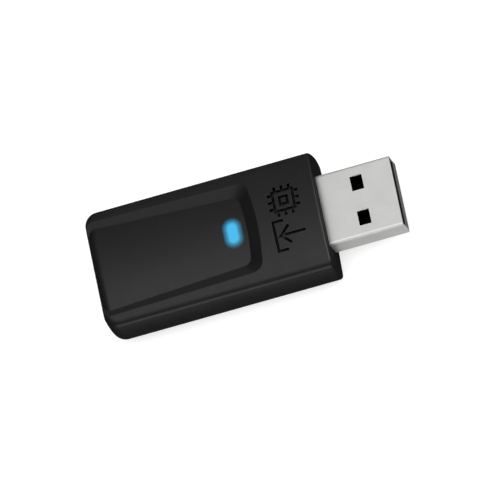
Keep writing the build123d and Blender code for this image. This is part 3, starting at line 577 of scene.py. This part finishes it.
def finish_piece(mesh, name, body, finish):
    """Turns a bmesh into a piece that rides on a CAD body."""
    bmesh.ops.recalc_face_normals(mesh, faces=mesh.faces)
    data = bpy.data.meshes.new(name)
    mesh.to_mesh(data)
    mesh.free()
    data.materials.append(finish)
    piece = bpy.data.objects.new(name, data)
    bpy.context.scene.collection.objects.link(piece)
    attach(piece, body)
    return piece


def bridge(mesh, first, second):
    """Joins two closed loops of points with a band of faces."""
    count = len(first)
    for k in range(count):
        after = (k + 1) % count
        mesh.faces.new((first[k], first[after], second[after], second[k]))


def add_ribbon(mesh, points, width, low_z, high_z):
    """Adds a flat strip of that width along points, with mitred corners."""
    ways = [(after - before).normalized() for before, after in zip(points, points[1:])]
    stations = []
    for point, into, out in zip(points, ways[:1] + ways, ways + ways[-1:]):
        side = Vector((-(into.y + out.y), into.x + out.x)).normalized()
        reach = width / 2 / max(MITRE_LIMIT, side.dot(Vector((-into.y, into.x))))
        left, right = point + side * reach, point - side * reach
        corners = [(left, low_z), (right, low_z), (right, high_z), (left, high_z)]
        stations.append([mesh.verts.new((*corner, z)) for corner, z in corners])
    for first, second in zip(stations, stations[1:]):
        bridge(mesh, first, second)
    mesh.faces.new(stations[0])
    mesh.faces.new(stations[-1][::-1])


def add_ring(mesh, middle, inner, outer, low_z, high_z):
    """Adds a flat washer, bevelled over its outer edge."""
    waist = (low_z + high_z) / 2
    flat = outer * RING_FLAT
    profile = [(inner, low_z), (inner, high_z), (flat, high_z), (outer, waist), (outer, low_z)]
    loops = []
    for i in range(RING_SIDES):
        angle = 2 * math.pi * i / RING_SIDES
        way = Vector((math.cos(angle), math.sin(angle)))
        loops.append([mesh.verts.new((*(middle + way * radius), z)) for radius, z in profile])
    for first, second in zip(loops, loops[1:] + loops[:1]):
        bridge(mesh, first, second)


def add_skirt(mesh, low, high, fillets, rise):
    """Adds a solder fillet round a box. fillets is its reach past each side, as (-X, +X, -Y, +Y)."""
    loops = []
    for step in range(SKIRT_STEPS + 1):
        share = step / SKIRT_STEPS
        reach = (1 - share) ** 2
        z = board_top + rise * share + SKIRT_GAP
        left, right = low.x - fillets[0] * reach, high.x + fillets[1] * reach
        near, far = low.y - fillets[2] * reach, high.y + fillets[3] * reach
        outline = [(left, near), (right, near), (right, far), (left, far)]
        loops.append([mesh.verts.new((x, y, z)) for x, y in outline])
    for first, second in zip(loops, loops[1:]):
        bridge(mesh, first, second)
    mesh.faces.new(loops[0][::-1])
    mesh.faces.new(loops[-1])


# ---- Traces ----


def dogleg(start, end):
    """A route in straight and 45-degree stretches, as on a real board."""
    gap = end - start
    diagonal = min(abs(gap.x), abs(gap.y))
    slant = Vector((math.copysign(diagonal, gap.x), math.copysign(diagonal, gap.y)))
    straight = (gap - slant) / 2
    return [start, start + straight, start + straight + slant, end]


def lay(mesh, points, width=FINE_TRACE_WIDTH):
    """Adds one trace through points."""
    add_ribbon(mesh, points, width, board_top, board_top + TRACE_RISE)


def route(mesh, start, end, width=TRACE_WIDTH):
    """Adds one trace from start to end, without the stretches that are too short to show."""
    kept = [start]
    for point in dogleg(start, end):
        if (point - kept[-1]).length > width / 2:
            kept.append(point)
    if len(kept) > 1:
        lay(mesh, kept, width)


def lay_supply(mesh):
    """The supply, through the fuse to the regulator and its reservoir."""
    fuse_ends = caps_of("fuse")
    bulk_ends = caps_of("bulk_capacitor")
    ground = feet["contact_ground"]
    route(mesh, feet["contact_vbus"], fuse_ends[0], POWER_TRACE_WIDTH)
    route(mesh, fuse_ends[1], regulator["+Y"][0], POWER_TRACE_WIDTH)
    route(mesh, regulator["-Y"][-1], controller["+X"][-1], POWER_TRACE_WIDTH)
    route(mesh, ground, nearest(cap_spots, ground), POWER_TRACE_WIDTH)
    route(mesh, bulk_ends[0], controller["+X"][0], POWER_TRACE_WIDTH)


def lay_data_pair(mesh):
    """The data pair, through its surge guard and its resistors."""
    for name, lead in (("contact_data_minus", -1), ("contact_data_plus", 0)):
        plug_side, inner_side = guard["+X"][lead], guard["-X"][-1 - lead]
        route(mesh, feet[name], plug_side)
        route(mesh, inner_side, nearest(cap_spots, inner_side))
    for side, pin in ((-1, 3), (1, 4)):
        start = Vector((guard["-X"][1].x - PAIR_SETBACK, side * PAIR_SPREAD))
        route(mesh, start, controller["+X"][pin])


def lay_clock(mesh):
    """Two lines to the crystal's pads, each at a share of its length."""
    low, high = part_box("crystal")
    for pin, share in ((3, 0.2), (5, 0.8)):
        pad = Vector((low.x + (high.x - low.x) * share, high.y))
        route(mesh, controller["-Y"][pin], pad)


def lay_memory_bus(mesh):
    """Two lines over the top of the memory, and two that pass round below it."""
    for pin, toe in zip(controller["-X"][2:4], by_x(memory["+Y"])[2:]):
        turn = min(BUS_TURN, (pin.y - toe.y) / 2)
        lay(mesh, [pin, Vector((toe.x + turn, pin.y)), Vector((toe.x, pin.y - turn)), toe])
    for lane, (pin, toe) in enumerate(zip(controller["-X"][7:5:-1], by_x(memory["-Y"])[2:])):
        x = pin.x - BUS_SETBACK - lane * BUS_PITCH
        y = toe.y - BUS_DROP + lane * BUS_PITCH
        lay(mesh, [pin, Vector((x, pin.y)), Vector((x, y)), Vector((toe.x, y)), toe])


def lay_pad_lines(mesh):
    """The lines to the programming pads, in lanes. The first pad joins the ground layer."""
    pads = by_x(centre(box).xy for box in solids_of("programming_pads"))
    turn = PAD_LANE_TURN
    for lane, (pin, pad) in enumerate(zip(by_x(controller["+Y"]), pads[1:])):
        y = pin.y + PAD_LANE_RISE + lane * BUS_PITCH
        lift = [pin, Vector((pin.x, y - turn)), Vector((pin.x - turn, y))]
        drop = [Vector((pad.x + turn, y)), Vector((pad.x, y + turn)), pad]
        lay(mesh, lift + drop)


def lay_antenna_feed(mesh):
    """The lines from the antenna's ends to the chips beside it."""
    for end in caps_of("ceramic_antenna"):
        route(mesh, end, nearest(cap_spots, end + Vector((ANTENNA_FEED, 0))))


def mask_traces():
    """Copper traces under the solder mask, from the plug back to the antenna."""
    mesh = bmesh.new()
    lay_supply(mesh)
    lay_data_pair(mesh)
    lay_clock(mesh)
    lay_memory_bus(mesh)
    lay_pad_lines(mesh)
    lay_antenna_feed(mesh)
    return finish_piece(mesh, "mask_traces", "base", trace_finish)


# ---- Vias, printed marks and solder ----


def is_clear(spot):
    """Whether a via at spot stays clear of every part on the board."""
    reach = Vector((VIA_RADIUS, VIA_RADIUS))
    for low, high in part_boxes:
        start, end = low.xy - reach, high.xy + reach
        if start.x < spot.x < end.x and start.y < spot.y < end.y:
            return False
    return True


def vias():
    """Small plated holes beside the microcontroller and along the board's edges."""
    mesh = bmesh.new()
    low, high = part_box("microcontroller")
    middle, half = centre((low, high)).xy, (high - low).x / 2
    spots = []
    for side in ("+X", "-Y"):
        way = Vector(SIDES[side])
        along = Vector((-way.y, way.x))
        spots += [middle + way * (half + VIA_GAP) + along * step for step in VIA_STEPS]
    columns = int((board_high.x - board_low.x) / VIA_PITCH)
    for i in range(columns):
        x = board_low.x + VIA_START + i * VIA_PITCH
        spots += [Vector((x, side * (board_high.y - VIA_MARGIN))) for side in (-1, 1)]
    for spot in filter(is_clear, spots):
        add_ring(mesh, spot, VIA_HOLE_RADIUS, VIA_RADIUS, board_top, board_top + VIA_RISE)
    return finish_piece(mesh, "vias", "base", finishes["gold_plate"])


def printed_marks():
    """White corners round the parts and a dot beside each first pin, with no lettering."""
    mesh = bmesh.new()
    top = board_top + INK_RISE
    for node in MARKED:
        low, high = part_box(node)
        margin = Vector((INK_MARGIN, INK_MARGIN))
        start, end = low.xy - margin, high.xy + margin
        corners = [start, Vector((end.x, start.y)), end, Vector((start.x, end.y))]
        for i, corner in enumerate(corners):
            before = (corners[i - 1] - corner).normalized() * INK_ARM
            after = (corners[(i + 1) % 4] - corner).normalized() * INK_ARM
            add_ribbon(mesh, [corner + before, corner, corner + after], INK_WIDTH, board_top, top)
    for node, shift in DOTS.items():
        low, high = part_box(node)
        add_ring(mesh, Vector((low.x, high.y)) + shift, DOT_HOLE_RADIUS, DOT_RADIUS, board_top, top)
    return finish_piece(mesh, "printed_marks", "base", ink_finish)


def solder_caps(mesh):
    """Fillets at the end caps of the chips, widest at the outer end of each."""
    cores = [centre(box).xy for box in core_boxes]
    for low, high in cap_boxes:
        spot = centre((low, high)).xy
        away = spot - nearest(cores, spot)
        ends = (0.0, CAP_FILLET) if away.x + away.y > 0 else (CAP_FILLET, 0.0)
        flanks = (CAP_SIDE_FILLET, CAP_SIDE_FILLET)
        fillets = ends + flanks if abs(away.x) > abs(away.y) else flanks + ends
        add_skirt(mesh, low, high, fillets, (high.z - low.z) * CAP_WETTING)


def solder_leads(mesh):
    """Fillets at the outer half of every bent lead."""
    for node in LEAD_NODES:
        boxes = solids_of(node)
        middle = sum((centre(box) for box in boxes), Vector()) / len(boxes)
        for low, high in boxes:
            half_way = centre((low, high))
            size = high - low
            axis = 0 if size.x > size.y else 1
            foot_low, foot_high = low.copy(), high.copy()
            if half_way[axis] > middle[axis]:
                foot_low[axis] = half_way[axis]
            else:
                foot_high[axis] = half_way[axis]
            add_skirt(mesh, foot_low, foot_high, [LEAD_FILLET] * 4, LEAD_FILLET)


def solder_ends(mesh):
    """Fillets at the contacts' feet, and at the metal ends of the lamp and the crystal."""
    for name in CONTACT_NODES:
        low, high = contact_foot(name)
        add_skirt(mesh, low, high, FOOT_FILLETS, FOOT_WETTING)
    for node, axis in (("indicator_led", 1), ("crystal", 0)):
        low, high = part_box(node)
        first_high, last_low = high.copy(), low.copy()
        first_high[axis] = low[axis] + METAL_END
        last_low[axis] = high[axis] - METAL_END
        for end_low, end_high in ((low, first_high), (last_low, high)):
            add_skirt(mesh, end_low, end_high, [METAL_END_FILLET] * 4, METAL_END_WETTING)


def solder_joints():
    """Solder fillets at every lead, end cap and contact foot."""
    mesh = bmesh.new()
    solder_caps(mesh)
    solder_leads(mesh)
    solder_ends(mesh)
    return finish_piece(mesh, "solder_joints", "base", solder_finish)


mask_traces()
vias()
printed_marks()
solder_joints()


# ======== Studio and camera ========


def add_floor():
    """A plain pale round floor under the object, lit a little from within so that shadows stay faint."""
    mesh = bmesh.new()
    bmesh.ops.create_circle(mesh, cap_ends=True, segments=FLOOR_SEGMENTS, radius=FLOOR_RADIUS)
    data = bpy.data.meshes.new("studio_floor")
    mesh.to_mesh(data)
    mesh.free()
    floor = bpy.data.objects.new("studio_floor", data)
    floor.location.z = cad_low.z - FLOOR_GAP
    bpy.context.scene.collection.objects.link(floor)
    f = Finish("floor_paint", {"Specular IOR Level": 0.1, "Emission Strength": 0.6})
    cloud = f.grain(40 * MM)
    f.feed("Base Color", f.blend(f.spread(cloud, 0, 1), tone(186, 186, 186), tone(190, 190, 190)))
    f.feed("Emission Color", f.blend(f.spread(cloud, 0, 1), tone(252, 252, 252), tone(255, 255, 255)))
    f.feed("Roughness", f.spread(cloud, 0.8, 0.9))
    data.materials.append(f.material)
    floor.visible_glossy = False
    floor.visible_shadow = False


def add_softbox(name, azimuth, elevation, distance, width, height, radiance):
    """A rectangular soft light that faces the object. Azimuth 0 is towards -Y and 90 towards +X."""
    turn, tilt = math.radians(azimuth), math.radians(elevation)
    way = Vector((math.sin(turn) * math.cos(tilt), -math.cos(turn) * math.cos(tilt), math.sin(tilt)))
    data = bpy.data.lights.new(name, "AREA")
    data.shape = "RECTANGLE"
    data.size, data.size_y = width, height
    data.energy = radiance * math.pi * width * height
    lamp = bpy.data.objects.new(name, data)
    lamp.location = way * distance
    lamp.rotation_mode = "QUATERNION"
    lamp.rotation_quaternion = way.to_track_quat("Z", "Y")
    bpy.context.scene.collection.objects.link(lamp)
    return lamp


def light_only(lamp, nodes):
    """Limits a lamp to some CAD nodes."""
    lit = bpy.data.collections.new(lamp.name + "_lights")
    for node in nodes:
        lit.objects.link(frame["nodes"][node])
    lamp.light_linking.receiver_collection = lit


def add_sky():
    """White surroundings, which gloss sees as a dim room with a dark floor, so that the lights shape it."""
    world = bpy.data.worlds.new("studio")
    bpy.context.scene.world = world
    world.use_nodes = True
    tree = world.node_tree
    ray = tree.nodes.new("ShaderNodeLightPath")
    way = tree.nodes.new("ShaderNodeSeparateXYZ")
    tree.links.new(tree.nodes.new("ShaderNodeTexCoord").outputs["Generated"], way.inputs["Vector"])
    rise = tree.nodes.new("ShaderNodeMapRange")
    rise.inputs["From Min"].default_value = -SKY_HORIZON
    rise.inputs["From Max"].default_value = SKY_HORIZON
    tree.links.new(way.outputs["Z"], rise.inputs["Value"])
    room = tree.nodes.new("ShaderNodeMix")
    room.data_type = "RGBA"
    room.inputs[6].default_value = SKY_DARK
    room.inputs[7].default_value = SKY_DIM
    tree.links.new(rise.outputs["Result"], room.inputs["Factor"])
    mix = tree.nodes.new("ShaderNodeMix")
    mix.data_type = "RGBA"
    mix.inputs[6].default_value = SKY_WHITE
    tree.links.new(room.outputs[2], mix.inputs[7])
    tree.links.new(ray.outputs["Is Glossy Ray"], mix.inputs["Factor"])
    tree.links.new(mix.outputs[2], tree.nodes["Background"].inputs["Color"])


def add_camera():
    """The camera, rolled about its line of sight."""
    azimuth, elevation, roll = (math.radians(a) for a in (CAMERA_AZIMUTH, CAMERA_ELEVATION, CAMERA_ROLL))
    level = Vector((math.cos(azimuth), math.sin(azimuth), 0))
    back = Vector((level.y * math.cos(elevation), -level.x * math.cos(elevation), math.sin(elevation)))
    right = level * math.cos(roll) + back.cross(level) * math.sin(roll)
    up = back.cross(right)
    data = bpy.data.cameras.new("camera")
    data.lens = CAMERA_LENS
    data.sensor_width = CAMERA_SENSOR
    data.clip_start, data.clip_end = CAMERA_CLIP
    camera = bpy.data.objects.new("camera", data)
    aim = (cad_low + cad_high) / 2 + AIM_OFFSET
    distance = VIEW_WIDTH * CAMERA_LENS / CAMERA_SENSOR
    turned = Matrix((right, up, back)).transposed().to_4x4()
    camera.matrix_world = Matrix.Translation(aim + back * distance) @ turned
    bpy.context.scene.collection.objects.link(camera)
    bpy.context.scene.camera = camera


add_floor()
add_sky()
for name, setting in SOFTBOXES.items():
    lamp = add_softbox(name, *setting)
    if name in FLAGGED:
        light_only(lamp, FLAGGED[name])
add_camera()
bpy.context.scene.view_settings.view_transform = "Standard"
